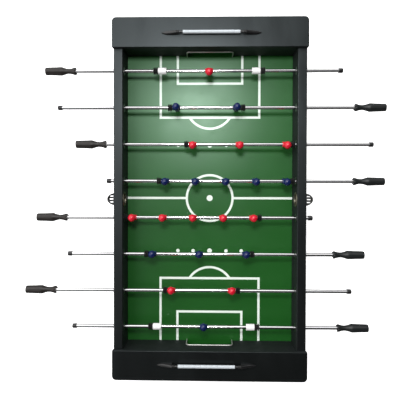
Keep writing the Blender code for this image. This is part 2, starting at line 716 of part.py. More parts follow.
def scorer_frame(end, material):
    """Two pointed feet that rise to posts with ribbed collars, and the wire for the beads."""
    name = f"scorer_frame_{end}"
    place = (SCORER_CENTRES[end], ENDS[end] * SCORER_Y, TOP_Z + GAP)
    collar_half = SCORER_HALF_SPAN - SCORER_COLLAR_LENGTH
    wire_profile = [(collar_half, SCORER_WIRE_RADIUS)]
    rib = SCORER_COLLAR_LENGTH / SCORER_RIBS
    for number in range(SCORER_RIBS):
        start = collar_half + number * rib
        wire_profile += [
            (start, SCORER_COLLAR_RADIUS),
            (start + rib - SCORER_GROOVE, SCORER_COLLAR_RADIUS),
            (start + rib - SCORER_GROOVE, SCORER_COLLAR_RADIUS - SCORER_GROOVE),
            (start + rib, SCORER_COLLAR_RADIUS - SCORER_GROOVE),
        ]
    wire_profile.append((SCORER_HALF_SPAN + SCORER_COLLAR_RADIUS, SCORER_COLLAR_RADIUS - SCORER_GROOVE))
    wire_profile = [(-x, radius) for x, radius in reversed(wire_profile)] + wire_profile
    wire = turned_mesh(name, wire_profile, 2 * BEAD_SIDES)
    wire.transform(Matrix.Translation((0, 0, SCORER_HEIGHT)))
    frame = add_object(name, wire, material, place)
    for side, sign in SIDES.items():
        start, tip = SCORER_HALF_SPAN, SCORER_HALF_LENGTH
        wide = SCORER_ARM_HALF_WIDTH
        shoulder = start + SCORER_SHOULDER * (tip - start)
        point = ((shoulder + tip) / 2, SCORER_POINT_WIDTH * wide)
        upper_edge = [point, (shoulder, wide), (start, wide)]
        lower_edge = [(x, -y) for x, y in reversed(upper_edge)]
        outline = [(sign * x, y) for x, y in [*lower_edge, (tip, 0.0), *upper_edge]]
        arm = extruded(f"scorer_arm_{side}", outline, 0, SCORER_POST_HEIGHT, "Z")
        for vert in arm.vertices:
            if vert.co.z > 0:
                share = (abs(vert.co.x) - start) / (tip - start)
                drop = (SCORER_POST_HEIGHT - SCORER_FOOT_HEIGHT) * min(1.0, share) ** SCORER_SLOPE
                vert.co.z -= drop
        boolean(frame, add_helper(f"{name}_arm_{side}", arm, place), "UNION")


def scorer_beads(end, material):
    """The stack of beads, end to end on the wire."""
    name = f"scorer_beads_{end}"
    profile = []
    start = -BEAD_COUNT * BEAD_LENGTH / 2
    for bead in range(BEAD_COUNT):
        x = start + bead * BEAD_LENGTH
        profile += [
            (x + GAP, BEAD_RADIUS - EDGE_ROUND),
            (x + EDGE_ROUND, BEAD_RADIUS),
            (x + BEAD_LENGTH - EDGE_ROUND, BEAD_RADIUS),
        ]
    profile += [
        (-start, BEAD_RADIUS - EDGE_ROUND),
        (-start, BEAD_BORE_RADIUS),
        (start + GAP, BEAD_BORE_RADIUS),
    ]
    mesh = turned_mesh(name, profile, BEAD_SIDES, ring_shaped=True)
    place = (SCORER_CENTRES[end], ENDS[end] * SCORER_Y, TOP_Z + GAP + SCORER_HEIGHT)
    add_object(name, mesh, material, place, smooth=True)


def main():
    clear_scene()
    materials = make_materials()
    laminate = materials["black_laminate"]
    for side in SIDES:
        side_panel(side, laminate)
        entry_ring(side, materials["brass_ring"])
        entry_cup(side, materials["grey_plastic"])
    for end in ENDS:
        goal_wall(end, laminate)
        end_panel(end, laminate)
        end_board(end, laminate)
        goal_frame(end, materials["chrome"])
        ball_tray(end, materials["black_plastic"])
        scorer_frame(end, materials["black_plastic"])
        scorer_beads(end, materials["white_plastic"])
    base_frame(materials["board"])
    pitch(materials["pitch_green"])
    shared = {}
    for team in ("red", "blue"):
        shared[team] = player_mesh(f"player_{team}", materials[f"team_{team}"])
        shared[f"{team}_grip"] = grip_mesh(grip_side(team))
        shared[f"{team}_grip"].materials.append(materials["black_plastic"])
    for row, (team, kind, rest_x, lean) in enumerate(ROWS, start=1):
        rod_row(row, team, kind, rest_x, lean, shared, materials)


main()
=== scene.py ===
"""The looks of the tabletop foosball table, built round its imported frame.

Metres, +Z up, X along the rods and Y from goal to goal, as in the CAD. Every piece takes its place
from the CAD nodes' boxes and from the joints.
"""

import json
import math

import bmesh
import bpy
from mathutils import Matrix, Vector


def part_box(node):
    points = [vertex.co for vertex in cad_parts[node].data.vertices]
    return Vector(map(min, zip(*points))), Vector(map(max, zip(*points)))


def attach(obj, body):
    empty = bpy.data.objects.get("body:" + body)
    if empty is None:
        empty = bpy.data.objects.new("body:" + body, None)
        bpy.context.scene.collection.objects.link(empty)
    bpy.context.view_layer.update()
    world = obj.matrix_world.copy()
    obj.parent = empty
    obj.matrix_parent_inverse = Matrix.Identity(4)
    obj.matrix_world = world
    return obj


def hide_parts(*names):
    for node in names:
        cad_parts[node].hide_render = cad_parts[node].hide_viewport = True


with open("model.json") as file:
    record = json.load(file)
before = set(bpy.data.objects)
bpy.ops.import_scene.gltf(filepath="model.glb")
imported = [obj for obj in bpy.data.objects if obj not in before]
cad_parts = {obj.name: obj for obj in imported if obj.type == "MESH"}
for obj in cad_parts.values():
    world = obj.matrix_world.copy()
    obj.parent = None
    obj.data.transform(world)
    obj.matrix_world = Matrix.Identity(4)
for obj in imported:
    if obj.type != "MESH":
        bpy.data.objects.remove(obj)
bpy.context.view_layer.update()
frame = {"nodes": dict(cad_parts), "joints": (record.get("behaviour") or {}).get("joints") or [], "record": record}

MM = 0.001
SIDES = {"left": -1, "right": 1}
ENDS = {"far": 1, "near": -1}
SLOT_OF_NODE = {part["node"]: part["material_slot"] for part in frame["record"]["subparts"]}
JOINTS = {joint["name"]: joint for joint in frame["joints"]}

# Places read from the CAD
ROWS = range(1, 1 + sum(name.endswith("_spin") for name in JOINTS))
TOP_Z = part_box("end_board_far")[1].z
SIDE_OUTER_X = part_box("side_panel_right")[1].x
SIDE_INNER_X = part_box("side_panel_right")[0].x
PITCH_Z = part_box("pitch")[1].z
GOAL_WALL_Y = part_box("goal_wall_far")[0].y
ENTRY_Z = sum(corner.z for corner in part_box("entry_ring_right")) / 2

# Sizes that the pieces share
GAP = 0.3 * MM
ROD_RADIUS = 5 * MM
EDGE_ROUND = 1.2 * MM
BEARING_HOLE_RADIUS = 9 * MM
ENTRY_HOLE_RADIUS = 18.5 * MM
GOAL_WIDTH = 130 * MM
GOAL_HEIGHT = 45 * MM
GOAL_CORNER_RADIUS = 8 * MM
GOAL_FRAME_RADIUS = 1.8 * MM
THIN_EDGE_ROUND = 0.8 * MM
WINDOW_HALF_WIDTH = 60 * MM
WINDOW_BOTTOM_Z = 34 * MM
WINDOW_TOP_Z = 78 * MM
WINDOW_CORNER_RADIUS = 6 * MM
SLACK = 0.02 * MM  # how loosely small parts sit on the rods

# The pitch's printed lines, which are mirrored about both middle lines
LINE_WIDTH = 6.8 * MM
LINE_SOFTNESS = 0.35 * MM
PENALTY_BOX = (147.3 * MM, 240.9 * MM)  # half its width, and its front line's Y
GOAL_BOX = (96.2 * MM, 342.0 * MM)
CENTRE_CIRCLE_RADIUS = 68.6 * MM
CENTRE_DOT_RADIUS = 9.0 * MM
PENALTY_ARC_Y = 279.1 * MM
PENALTY_ARC_RADIUS = 71.4 * MM
KICK_OFF_DOTS = ((95 * MM, 5.3 * MM), (49.3 * MM, 5.3 * MM), (0.0, 7.2 * MM))  # X and radius
KICK_OFF_DOTS_Y = 158.5 * MM
PRINT_SHIFT = 2.0 * MM  # how far the print lies towards the far end

# How far the men of each row lean their heads towards the near end, in degrees
LEANS = (20, 0, 10, 6, 0, -5, -10, -14)

# Grip: (share of its length from the outer end, radius in millimetres)
GRIP_SECTIONS = (
    (0.012, 9.6), (0.045, 11.0), (0.340, 11.7), (0.480, 12.3), (0.540, 12.0), (0.620, 9.6),
    (0.720, 7.5), (0.800, 7.5), (0.870, 8.6), (0.945, 10.6), (1.000, 10.4),
)
GRIP_FLUTES = 12
GRIP_FLUTE_DEPTH = 0.35 * MM
GRIP_LOBES = 6  # of its notched inner end
GRIP_NOTCH = 3.4 * MM
GRIP_LOBE_DEPTH = 1.1 * MM

# A player's sections from the foot up, in millimetres: height over the rod's axis, half the width,
# half the depth, and the superellipse's power
PLAYER_SECTIONS = (
    (-44.0, 5.0, 3.8, 5.0), (-43.2, 5.8, 4.6, 5.0), (-42.0, 6.1, 5.0, 6.0), (-35.5, 6.1, 4.9, 6.0),
    (-34.0, 5.8, 4.6, 5.0), (-32.5, 5.1, 4.1, 3.5), (-29.5, 5.0, 3.9, 3.0), (-26.0, 5.5, 4.2, 3.0),
    (-23.0, 5.4, 4.1, 3.0), (-20.0, 6.2, 4.8, 3.0), (-18.6, 6.6, 5.0, 3.0), (-18.4, 7.9, 5.8, 3.5),
    (-17.8, 8.1, 6.0, 3.5), (-12.0, 8.3, 6.1, 3.5), (-9.4, 8.4, 6.2, 3.5), (-9.2, 9.3, 6.9, 3.5),
    (-8.4, 9.5, 7.1, 3.5), (-5.5, 9.4, 7.6, 3.5), (-2.0, 9.6, 8.5, 3.0), (2.0, 9.7, 8.6, 3.0),
    (5.0, 9.8, 7.8, 3.0), (7.2, 9.2, 6.4, 2.8), (8.6, 7.5, 5.2, 2.5), (9.4, 5.2, 4.6, 2.2),
    (10.2, 4.4, 4.4, 2.0), (13.0, 4.3, 4.3, 2.0),
)
LEGS_TOP = -20.0 * MM
LEGS_FOOT = -33.0 * MM
LEG_GROOVE = (0.35, 0.9 * MM)  # its depth as a share of the leg's, and its half-width
SHOULDER_HALF_WIDTH = 11.5 * MM
HEAD_CENTRE = 19.0 * MM
HEAD_RADII = (10.6 * MM, 10.9 * MM, 11.0 * MM)
HAIR_RISE = 0.022  # a share of the head's radius
HAIRLINE = (0.42, 0.75)  # the height of its edge in front, and how far it falls to the back
HAIR_EDGE_SHARPNESS = 28
# Bumps on the head: direction (x, forwards, up), angular half-widths across and up, and rise
HEAD_FEATURES = (
    ((0.00, 1.00, -0.10), (0.13, 0.20), 0.100),
    ((0.00, 1.00, -0.22), (0.22, 0.10), 0.045),
    ((0.36, 1.00, 0.10), (0.17, 0.11), -0.060),
    ((-0.36, 1.00, 0.10), (0.17, 0.11), -0.060),
    ((0.00, 1.00, 0.30), (0.55, 0.10), 0.035),
    ((0.00, 1.00, -0.47), (0.24, 0.05), -0.035),
    ((0.00, 1.00, -0.80), (0.26, 0.16), 0.045),
    ((1.00, -0.02, -0.02), (0.14, 0.24), 0.075),
    ((-1.00, -0.02, -0.02), (0.14, 0.24), 0.075),
)

UPRIGHT_ROUGHNESS = 0.34  # how much duller the boards' upright faces are than their tops
# The two colours that each plastic drifts between, its roughness, the scale and the depth of its
# grain, and its specular level
PLASTICS = {
    "black_plastic": ((0.0050, 0.0050, 0.0052), (0.0095, 0.0095, 0.0098), 0.34, 1500, 0.03 * MM, 0.5),
    "grip_brown": ((0.0090, 0.0068, 0.0056), (0.0150, 0.0118, 0.0100), 0.46, 1100, 0.06 * MM, 0.38),
    "grip_black": ((0.0038, 0.0050, 0.0052), (0.0070, 0.0088, 0.0090), 0.46, 1100, 0.06 * MM, 0.32),
    "black_rubber": ((0.0050, 0.0050, 0.0050), (0.0100, 0.0100, 0.0100), 0.58, 1800, 0.06 * MM, 0.5),
    "bead_plastic": ((0.45, 0.49, 0.52), (0.53, 0.57, 0.60), 0.38, 1300, 0.02 * MM, 0.5),
    "white_plastic": ((0.74, 0.74, 0.73), (0.82, 0.82, 0.81), 0.30, 1300, 0.02 * MM, 0.5),
    "grey_plastic": ((0.030, 0.031, 0.029), (0.060, 0.062, 0.058), 0.38, 1300, 0.04 * MM, 0.5),
    "team_red": ((0.50, 0.004, 0.018), (0.60, 0.007, 0.026), 0.24, 1400, 0.03 * MM, 0.5),
    "team_blue": ((0.0012, 0.0070, 0.056), (0.0022, 0.0100, 0.074), 0.26, 1400, 0.03 * MM, 0.38),
}
GRIP_LOOKS = {"red": "grip_brown", "blue": "grip_black"}


# ---- node graphs


class Graph:
    """A tree of nodes, in short words. A value may be a number, a colour or a socket."""

    def __init__(self, tree, shader):
        self.tree = tree
        self.shader = tree.nodes[shader]

    def give(self, socket, value):
        if isinstance(value, bpy.types.NodeSocket):
            self.tree.links.new(value, socket)
        elif socket.type == "RGBA":
            socket.default_value = (*value, 1.0)
        else:
            socket.default_value = value

    def node(self, kind, inputs=(), **properties):
        """A new node. inputs pairs its sockets' names or numbers with their values."""
        made = self.tree.nodes.new(kind)
        for name, value in properties.items():
            setattr(made, name, value)
        for key, value in dict(inputs).items():
            self.give(made.inputs[key], value)
        return made

    def set(self, name, value):
        self.give(self.shader.inputs[name], value)

    def math(self, operation, *values):
        return self.node("ShaderNodeMath", enumerate(values), operation=operation).outputs[0]

    def plus(self, first, second):
        return self.math("ADD", first, second)

    def minus(self, first, second):
        return self.math("SUBTRACT", first, second)

    def times(self, first, second):
        return self.math("MULTIPLY", first, second)

    def length(self, first, second):
        """The length of a vector from two of its parts."""
        return self.math("SQRT", self.plus(self.times(first, first), self.times(second, second)))

    def split(self, vector):
        return self.node("ShaderNodeSeparateXYZ", {0: vector}).outputs

    def ranged(self, value, low, high, to_low=0.0, to_high=1.0):
        """value's range low to high, turned smoothly into to_low to to_high."""
        given = enumerate((value, low, high, to_low, to_high))
        return self.node("ShaderNodeMapRange", given, interpolation_type="SMOOTHSTEP").outputs[0]

    def mix(self, share, first, second):
        """A colour that goes from first to second."""
        return self.node("ShaderNodeMix", {0: share, 6: first, 7: second}, data_type="RGBA").outputs[2]


class Material(Graph):
    """A new material, with patterns that are placed by the piece's own coordinates."""

    def __init__(self, name, **settings):
        self.material = bpy.data.materials.new(name)
        self.material.use_nodes = True
        super().__init__(self.material.node_tree, "Principled BSDF")
        for setting, value in settings.items():
            self.set(setting.replace("_", " ").title().replace("Ior", "IOR"), value)
        self.place = self.node("ShaderNodeTexCoord").outputs["Object"]

    def stretched(self, *scale):
        """The coordinates times a factor along each axis."""
        return self.node("ShaderNodeMapping", {"Vector": self.place, "Scale": scale}).outputs[0]

    def noise(self, scale, detail=2.0, roughness=0.5, vector=None, distortion=0.0):
        given = {"Vector": vector or self.place, "Scale": scale, "Detail": detail,
                 "Roughness": roughness, "Distortion": distortion}
        return self.node("ShaderNodeTexNoise", given).outputs["Fac"]

    def cells(self, scale):
        """How far each point is from the nearest of scattered points."""
        return self.node("ShaderNodeTexVoronoi", {"Vector": self.place, "Scale": scale}).outputs["Distance"]

    def bump(self, height, distance, strength, under=None):
        """A normal from a height of 0 to 1, which stands for distance in metres."""
        made = self.node("ShaderNodeBump", {"Strength": strength, "Distance": distance, "Height": height})
        if under is not None:
            self.give(made.inputs["Normal"], under)
        self.set("Normal", made.outputs[0])
        return made.outputs[0]

    def finished(self, colour, roughness):
        self.set("Base Color", colour)
        self.set("Roughness", roughness)
        return self.material


def laminate_material():
    """Satin black foil with a fine pebble grain, faint wipe marks and a little dust."""
    graph = Material("black_laminate", specular_ior_level=0.46, specular_tint=(0.84, 0.96, 1.0))
    colour = graph.mix(graph.noise(9, 3), (0.0016, 0.0019, 0.0018), (0.0030, 0.0034, 0.0032))
    dust = graph.ranged(graph.noise(420, 1), 0.66, 0.74)
    dusty = graph.mix(graph.times(dust, 0.03), colour, (0.20, 0.20, 0.19))
    wiped = graph.noise(14, 4, 0.6, graph.stretched(1.0, 0.25, 1.0), 0.6)
    pebbles = graph.cells(850)
    facing_up = graph.split(graph.node("ShaderNodeNewGeometry").outputs["Normal"])[2]
    upright = graph.ranged(facing_up, 0.2, 0.7, UPRIGHT_ROUGHNESS, 0.0)
    roughness = graph.plus(graph.ranged(wiped, 0.3, 0.7, 0.27, 0.35), graph.times(pebbles, 0.05))
    coarse = graph.bump(graph.noise(260, 2), 0.10 * MM, 0.22)
    graph.bump(graph.minus(1.0, pebbles), 0.12 * MM, 0.22, coarse)
    return graph.finished(dusty, graph.plus(roughness, upright))


def line_mask(graph, distance, width):
    """1 on a line of this width where distance, taken either way, is 0."""
    return graph.ranged(graph.math("ABSOLUTE", distance), width / 2 - LINE_SOFTNESS,
                        width / 2 + LINE_SOFTNESS, 1.0, 0.0)


def pitch_material():
    """Glossy printed green with its white lines, slightly uneven ink and an orange-peel coat."""
    graph = Material("pitch_green", specular_tint=(0.74, 1.0, 0.84))
    x, y, _ = graph.split(graph.place)
    y = graph.minus(y, PRINT_SHIFT)
    across = graph.math("ABSOLUTE", x)
    along = graph.math("ABSOLUTE", y)

    def box_line(half_width, front):
        reach = graph.math("MAXIMUM", graph.minus(across, half_width), graph.minus(front, along))
        return line_mask(graph, reach, LINE_WIDTH)

    def beyond(value, limit, soft, inside, outside):
        return graph.ranged(value, limit - soft, limit + soft, inside, outside)

    from_centre = graph.length(x, y)
    from_spot = graph.length(x, graph.minus(along, PENALTY_ARC_Y))
    arc = line_mask(graph, graph.minus(from_spot, PENALTY_ARC_RADIUS), LINE_WIDTH)
    marks = [
        box_line(*PENALTY_BOX),
        box_line(*GOAL_BOX),
        line_mask(graph, graph.minus(from_centre, CENTRE_CIRCLE_RADIUS), LINE_WIDTH),
        line_mask(graph, from_centre, 2 * CENTRE_DOT_RADIUS),
        graph.times(line_mask(graph, y, LINE_WIDTH),
                    beyond(from_centre, CENTRE_CIRCLE_RADIUS, 0.5 * MM, 0.0, 1.0)),
        graph.times(beyond(along, PENALTY_BOX[1], 0.4 * MM, 1.0, 0.0), arc),
    ]
    for dot_x, radius in KICK_OFF_DOTS:
        from_dot = graph.length(graph.minus(across, dot_x), graph.minus(along, KICK_OFF_DOTS_Y))
        marks.append(line_mask(graph, from_dot, 2 * radius))
    lines = marks[0]
    for mark in marks[1:]:
        lines = graph.math("MAXIMUM", lines, mark)

    ink = graph.plus(graph.times(graph.noise(5, 3), 0.6), graph.times(graph.noise(950, 2), 0.4))
    green = graph.mix(ink, (0.0062, 0.068, 0.0064), (0.0100, 0.090, 0.0102))
    white = graph.mix(graph.noise(600, 2), (0.72, 0.80, 0.73), (0.82, 0.90, 0.83))
    colour = graph.mix(lines, green, white)
    scuffs = graph.ranged(graph.noise(38, 5, 0.7, graph.stretched(1.0, 3.0, 1.0), 1.2), 0.60, 0.72)
    scuffed = graph.mix(graph.times(scuffs, 0.05), colour, (0.10, 0.16, 0.11))
    sheen = graph.ranged(graph.noise(11, 3), 0.3, 0.7, 0.315, 0.355)
    printed = graph.bump(lines, 0.03 * MM, 0.5)
    graph.bump(graph.noise(330, 2), 0.02 * MM, 0.30, printed)
    return graph.finished(scuffed, graph.plus(sheen, graph.times(scuffs, 0.08)))


def chrome_material():
    """Polished plate with hair scratches along the rod and finger marks."""
    graph = Material("chrome", metallic=1.0)
    marks = graph.noise(55, 4, 0.6, distortion=0.8)
    hairs = graph.noise(1, 3, 0.6, graph.stretched(25, 2600, 2600))
    graph.bump(hairs, 0.001 * MM, 0.03)
    return graph.finished(graph.mix(marks, (0.52, 0.52, 0.53), (0.62, 0.62, 0.62)),
                          graph.plus(graph.ranged(marks, 0.35, 0.75, 0.12, 0.15), graph.times(hairs, 0.03)))


def plastic_material(name):
    """Moulded plastic: a little colour drift, an uneven sheen and the mould's fine grain."""
    first, second, roughness, grain, grain_depth, specular = PLASTICS[name]
    graph = Material(name, specular_ior_level=specular)
    drift = graph.noise(70, 3, 0.6)
    speckle = graph.noise(grain, 2)
    share = graph.plus(graph.times(drift, 0.7), graph.times(speckle, 0.3))
    rubbed = graph.noise(120, 4, 0.65, distortion=0.7)
    waves = graph.bump(graph.noise(240, 1), 0.03 * MM, 0.25)
    graph.bump(speckle, grain_depth, 0.4, waves)
    return graph.finished(graph.mix(share, first, second),
                          graph.ranged(rubbed, 0.3, 0.7, roughness * 0.85, roughness * 1.2))


def brass_material():
    """Dark tarnished brass with marks round the ring."""
    graph = Material("brass_ring", metallic=0.85)
    tarnish = graph.noise(95, 4, 0.6)
    graph.bump(graph.noise(1, 2, 0.5, graph.stretched(1500, 1500, 90)), 0.01 * MM, 0.3)
    return graph.finished(graph.mix(tarnish, (0.090, 0.082, 0.058), (0.185, 0.172, 0.125)),
                          graph.ranged(tarnish, 0.3, 0.7, 0.30, 0.46))


def fibreboard_material():
    """Raw hardboard: pressed fibres, darker flecks and a dry surface."""
    graph = Material("fibreboard")
    fibres = graph.noise(1, 4, 0.7, graph.stretched(260, 900, 500), 1.5)
    clouds = graph.noise(13, 3)
    base = graph.mix(clouds, (0.125, 0.080, 0.046), (0.200, 0.135, 0.082))
    flecks = graph.ranged(graph.noise(380, 2, 0.6), 0.60, 0.68)
    colour = graph.mix(graph.times(fibres, 0.5), base, (0.28, 0.20, 0.13))
    graph.bump(fibres, 0.12 * MM, 0.5)
    return graph.finished(graph.mix(graph.times(flecks, 0.6), colour, (0.060, 0.036, 0.020)),
                          graph.ranged(clouds, 0.3, 0.7, 0.66, 0.82))


def steel_material(name):
    """Dull zinc plate."""
    graph = Material(name, metallic=0.7)
    clouds = graph.noise(700, 3, 0.6)
    graph.bump(clouds, 0.02 * MM, 0.3)
    return graph.finished(graph.mix(clouds, (0.44, 0.44, 0.42), (0.60, 0.60, 0.57)),
                          graph.ranged(clouds, 0.3, 0.7, 0.26, 0.42))


def floor_material():
    """White to the camera, and greyer in what the table reflects."""
    graph = Material("floor", specular_ior_level=0.0, emission_strength=0.75)
    seen = graph.node("ShaderNodeLightPath").outputs["Is Camera Ray"]
    graph.set("Emission Color", graph.mix(seen, (0.10, 0.10, 0.10), (1.0, 1.0, 1.0)))
    white = graph.mix(graph.noise(3, 2), (0.92, 0.92, 0.92), (0.94, 0.94, 0.94))
    return graph.finished(graph.mix(seen, (0.28, 0.28, 0.28), white), 1.0)


LOOKS = {name: plastic_material(name) for name in PLASTICS} | {
    "black_laminate": laminate_material(),
    "pitch_green": pitch_material(),
    "chrome": chrome_material(),
    "zinc_steel": steel_material("zinc_steel"),
    "goal_steel": steel_material("goal_steel"),
    "brass_ring": brass_material(),
    "fibreboard": fibreboard_material(),
    "floor": floor_material(),
}


# ---- meshes


def mesh_from(bm, name):
    bmesh.ops.recalc_face_normals(bm, faces=bm.faces)
    mesh = bpy.data.meshes.new(name)
    bm.to_mesh(mesh)
    bm.free()
    return mesh


def add_object(name, data, location=(0.0, 0.0, 0.0)):
    obj = bpy.data.objects.new(name, data)
    bpy.context.scene.collection.objects.link(obj)
    obj.location = location
    return obj


def modify(obj, kind, **settings):
    modifier = obj.modifiers.new(kind, kind)
    for name, value in settings.items():
        setattr(modifier, name, value)


def settled(obj, helpers=()):
    """The object's mesh with its modifiers applied. The object and its helpers go."""
    bpy.context.view_layer.update()
    graph = bpy.context.evaluated_depsgraph_get()
    mesh = bpy.data.meshes.new_from_object(obj.evaluated_get(graph))
    for used in (obj, *helpers):
        bpy.data.objects.remove(used, do_unlink=True)
    return mesh


def combined(first, others, operation):
    """first cut by, or joined to, each of the other meshes in turn."""
    obj = add_object("combining", first)
    helpers = []
    for other in others:
        helpers.append(add_object("other", other))
        modify(obj, "BOOLEAN", operation=operation, solver="EXACT", object=helpers[-1])
    return settled(obj, helpers)


def placed(mesh, offset, angle=0.0, axis="Z"):
    """The mesh itself, turned about its origin and then moved."""
    mesh.transform(Matrix.Translation(offset) @ Matrix.Rotation(angle, 4, axis))
    return mesh


def joined(name, meshes):
    bm = bmesh.new()
    for mesh in meshes:
        bm.from_mesh(mesh)
    return mesh_from(bm, name)


def ring_faces(bm, rings):
    for first, second in zip(rings, rings[1:]):
        count = len(first)
        for side in range(count):
            after = (side + 1) % count
            bm.faces.new((first[side], first[after], second[after], second[side]))


def lofted(bm, sections):
    """A closed solid through rings of points, with flat ends."""
    rings = [[bm.verts.new(point) for point in points] for points in sections]
    ring_faces(bm, rings)
    bm.faces.new(rings[0])
    bm.faces.new(rings[-1])


def loft(name, sections):
    bm = bmesh.new()
    lofted(bm, sections)
    return mesh_from(bm, name)


def round_angles(sides):
    return [math.tau * side / sides for side in range(sides)]


def shares(steps):
    """From 0 to 1 in even steps."""
    return [step / steps for step in range(steps + 1)]


def signed_power(value, power):
    return math.copysign(abs(value) ** power, value)


def lathe(name, profile, sides=48, ring=False, warp=None):
    """A solid turned about X from (x, radius) points, or, as a ring, from a closed outline of them.

    warp(x, radius, angle) may move each point, with the angle taken from the top.
    """
    rings = []
    for x, radius in profile:
        points = []
        for angle in round_angles(sides):
            at_x, at_radius = warp(x, radius, angle) if warp else (x, radius)
            points.append((at_x, at_radius * math.sin(angle), at_radius * math.cos(angle)))
        rings.append(points)
    if not ring:
        return loft(name, rings)
    bm = bmesh.new()
    made = [[bm.verts.new(point) for point in points] for points in rings]
    ring_faces(bm, [*made, made[0]])
    return mesh_from(bm, name)


def in_mm(*lengths):
    return [length * MM for length in lengths]


def clamped(value):
    return min(1.0, max(0.0, value))


def filleted(points, radius, steps=3, closed=False):
    """The polyline with its corners rounded, by up to radius, or nearly half, of each side."""
    nearly_half = 0.48
    count = len(points)
    rounded = []
    for index, point in enumerate(points):
        if not closed and index in (0, count - 1):
            rounded.append(point)
            continue
        corner = Vector(point)
        ends = []
        for other in (points[index - 1], points[(index + 1) % count]):
            side = Vector(other) - corner
            ends.append(corner + side.normalized() * min(radius, side.length * nearly_half))
        for share in shares(steps):
            at = ends[0] * (1 - share) ** 2 + corner * 2 * share * (1 - share) + ends[1] * share**2
            rounded.append(tuple(at))
    return rounded


def ring_of(name, outline, fillet=0.0, sign=1, sides=48, steps=3):
    """A ring turned about X from an outline with rounded corners, which sign -1 mirrors."""
    if fillet:
        outline = filleted(outline, fillet, steps, closed=True)
    return lathe(name, [(sign * x, radius) for x, radius in outline], sides, ring=True)


def rounded_rectangle(low, high, radii, steps=8):
    """An outline with a radius for each corner: low-left, low-right, high-right, high-left."""
    corners = ((*low, 1, 1), (high[0], low[1], -1, 1), (*high, -1, -1), (low[0], high[1], 1, -1))
    outline = []
    for index, (x, y, inward_x, inward_y) in enumerate(corners):
        radius = radii[index]
        for share in shares(steps):
            angle = math.radians(180 + 90 * (index + share))
            outline.append((x + inward_x * radius + radius * math.cos(angle),
                            y + inward_y * radius + radius * math.sin(angle)))
    return outline


def extruded(name, outline, low, high, axis, edge=0.0):
    """A flat outline pulled from low to high along an axis, with the edges of its two ends rounded.

    The outline's points are (x, y) for axis Z, (x, z) for axis Y and (y, z) for axis X.
    """
    bm = bmesh.new()

    def ring(level):
        points = []
        for point in outline:
            coordinates = list(point)
            coordinates.insert("XYZ".index(axis), level)
            points.append(coordinates)
        return points

    lofted(bm, [ring(low), ring(high)])
    bmesh.ops.recalc_face_normals(bm, faces=bm.faces)
    if edge:
        sharp = [line for line in bm.edges if line.calc_face_angle() > math.radians(50)]
        bmesh.ops.bevel(bm, geom=sharp, offset=edge, segments=3, profile=0.5, affect="EDGES")
    return mesh_from(bm, name)


def board(name, low, high, edge=EDGE_ROUND):
    """A box between two corners with rounded edges."""
    outline = [(low[0], low[1]), (high[0], low[1]), (high[0], high[1]), (low[0], high[1])]
    return extruded(name, outline, low[2], high[2], "Z", edge)


def tube(name, route, radius, sides=16):
    """A round tube along points that lie in one plane, with flat ends."""
    points = [Vector(point) for point in route]
    plane = (points[1] - points[0]).cross(points[len(points) // 2] - points[0]).normalized()
    rings = []
    for index, point in enumerate(points):
        before = points[max(index - 1, 0)]
        after = points[min(index + 1, len(points) - 1)]
        across = (after - before).normalized().cross(plane)
        rings.append([point + (across * math.cos(angle) + plane * math.sin(angle)) * radius
                      for angle in round_angles(sides)])
    return loft(name, rings)


# ---- pieces


def add_piece(name, mesh, look, body="root", replaces=(), location=(0, 0, 0), lean=0, sharp=40,
              even=False):
    """A finished piece on its body. lean and sharp are in degrees: sharp is the angle between faces
    from which their edge shows. even keeps a board's broad faces flat beside its round edges."""
    if not mesh.materials:
        mesh.materials.append(LOOKS[look])
    mesh.shade_smooth()
    mesh.set_sharp_from_angle(angle=math.radians(sharp))
    obj = add_object(name, mesh, location)
    obj.rotation_euler.x = math.radians(lean)
    if even:
        modify(obj, "WEIGHTED_NORMAL", keep_sharp=True)
    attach(obj, body)
    if replaces:
        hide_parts(*replaces)


def bore(radius, x, y, z, reach, sides=64):
    """A cutter along X."""
    return placed(lathe("bore", ((-reach, radius), (reach, radius)), sides), (x, y, z))


def row_place(row):
    return Vector(JOINTS[f"rod_{row}_spin"]["pos_m"])


def add_cut_board(node, part, look, edge, cutters):
    """A board that fills a node's box, with openings cut through it."""
    mesh = combined(board(node, *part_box(node), edge), cutters, "DIFFERENCE")
    add_piece(f"{node}_{part}", mesh, look, replaces=[node], even=True)


def add_side_panels():
    for side in SIDES:
        name = f"side_panel_{side}"
        low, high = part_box(name)
        middle = (low.x + high.x) / 2
        thickness = high.x - low.x
        cutters = []
        for row in ROWS:
            place = row_place(row)
            cutters.append(bore(BEARING_HOLE_RADIUS, middle, place.y, place.z, thickness, 32))
        cutters.append(bore(ENTRY_HOLE_RADIUS, middle, 0, ENTRY_Z, thickness))
        add_cut_board(name, "board", "black_laminate", EDGE_ROUND, cutters)


def add_end_boards():
    outer_corner, inner_corner = in_mm(12, 2)
    for end, sign in ENDS.items():
        name = f"end_board_{end}"
        low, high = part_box(name)
        radii = (inner_corner, inner_corner, outer_corner, outer_corner)
        outline = rounded_rectangle((low.x, low.y), (high.x, high.y), radii[::sign])
        mesh = extruded(name, outline, low.z, high.z, "Z", EDGE_ROUND)
        add_piece(f"{name}_top", mesh, "black_laminate", replaces=[name], even=True)


def add_goal_walls():
    half = GOAL_WIDTH / 2
    for end in ENDS:
        name = f"goal_wall_{end}"
        low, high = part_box(name)
        mouth = rounded_rectangle((-half, low.z - half), (half, PITCH_Z + GOAL_HEIGHT),
                                  (GAP, GAP, GOAL_CORNER_RADIUS, GOAL_CORNER_RADIUS))
        cutter = extruded("mouth", mouth, low.y - half, high.y + half, "Y")
        add_cut_board(name, "board", "black_laminate", THIN_EDGE_ROUND, [cutter])


